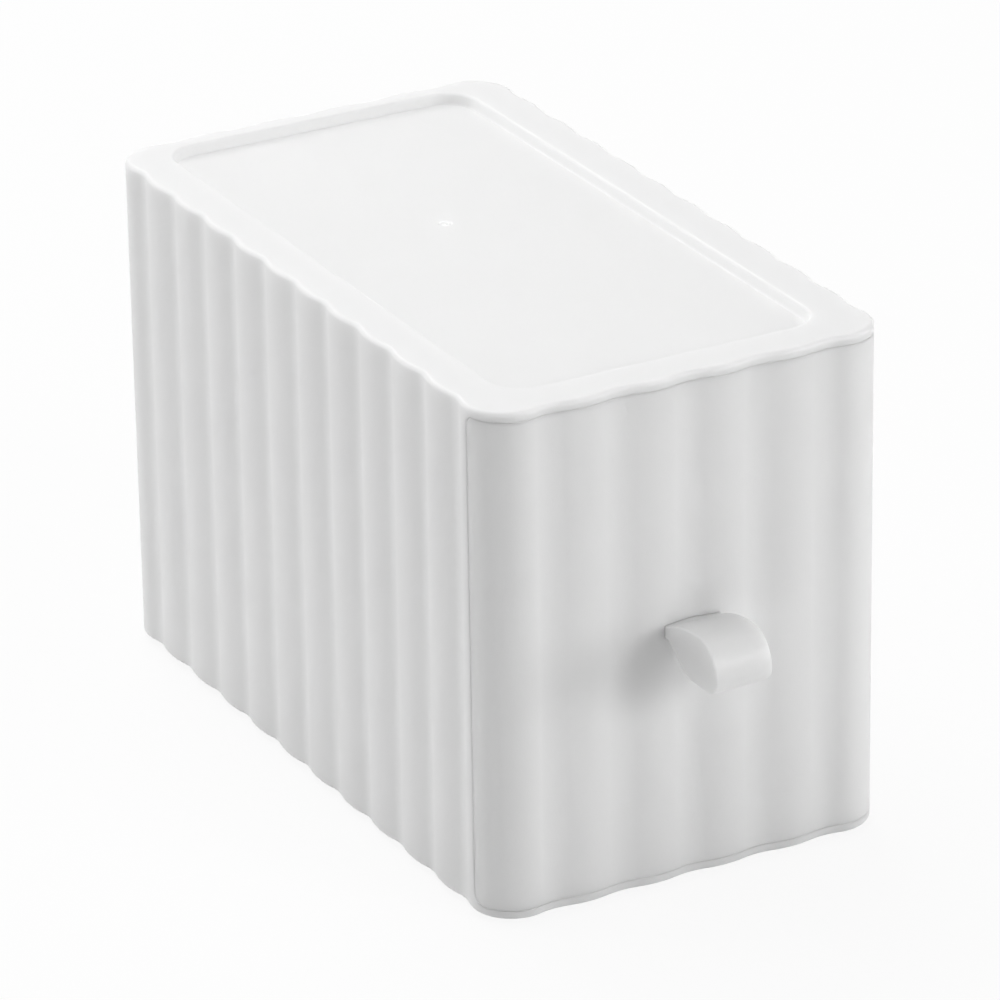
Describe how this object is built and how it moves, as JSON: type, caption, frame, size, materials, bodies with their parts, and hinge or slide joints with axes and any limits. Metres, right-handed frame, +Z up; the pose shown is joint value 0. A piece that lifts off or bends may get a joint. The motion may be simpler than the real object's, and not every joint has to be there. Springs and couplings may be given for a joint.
{
  "type": "cotton pad holder with drawer",
  "caption": "Fluted white plastic cotton pad box: a casing with a stacking recess in its lid and a drawer with a curled finger pull that slides out to the front.",
  "frame": {"origin": "under the middle of the whole closed holder, on the surface that its foot pads stand on", "axes": "+Z up; -Y to the front, the way the drawer slides out; +X to the right of someone facing the drawer front"},
  "size_m": [0.0834, 0.1688, 0.1011],
  "materials": {
    "casing_plastic": "satin",
    "drawer_plastic": "satin",
    "tray_plastic": "satin",
    "pull_plastic": "satin",
    "pad_rubber": "matte"
  },
  "bodies": {
    "casing": {"outer_casing": "casing_plastic", "foot_pad_front_left": "pad_rubber", "foot_pad_front_right": "pad_rubber", "foot_pad_rear_left": "pad_rubber", "foot_pad_rear_right": "pad_rubber"},
    "drawer": {"drawer_front": "drawer_plastic", "drawer_tray": "tray_plastic", "pull_tab": "pull_plastic"}
  },
  "joints": [
    {"name": "drawer_slide", "type": "slide", "parent": "casing", "child": "drawer", "axis": [0, -1, 0], "range_m": [0, 0.115]}
  ]
}
